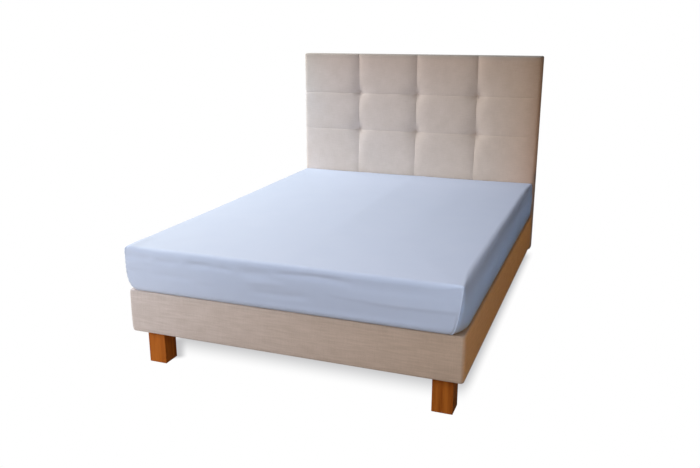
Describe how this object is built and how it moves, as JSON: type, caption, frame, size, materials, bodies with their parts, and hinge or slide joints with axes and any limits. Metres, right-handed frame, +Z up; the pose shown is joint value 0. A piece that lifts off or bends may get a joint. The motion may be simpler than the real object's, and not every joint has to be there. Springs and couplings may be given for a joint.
{
  "type": "fitted sheet on a mattress and upholstered bed",
  "caption": "Pale blue fitted bed sheet stretched over a mattress, its hem turned under, on an upholstered box base with a tufted headboard and square wooden legs",
  "frame": {"origin": "on the floor, at the middle of the whole bed's footprint", "axes": "+X to the right of someone who looks from the foot end at the headboard, +Y from the foot end to the headboard, +Z up"},
  "size_m": [1.54, 2.098, 1.335],
  "materials": {
    "sheet_cotton": "fine plain-weave cotton, matt, pale periwinkle blue",
    "mattress_ticking": "white woven ticking",
    "upholstery": "beige slubbed linen weave, matt",
    "leg_wood": "orange-brown stained wood with upright grain, satin varnish"
  },
  "bodies": {
    "root": {"fitted_sheet": "sheet_cotton", "mattress": "mattress_ticking", "bed_base": "upholstery", "headboard": "upholstery", "leg_front_left": "leg_wood", "leg_front_right": "leg_wood", "leg_back_left": "leg_wood", "leg_back_right": "leg_wood"}
  },
  "joints": []
}
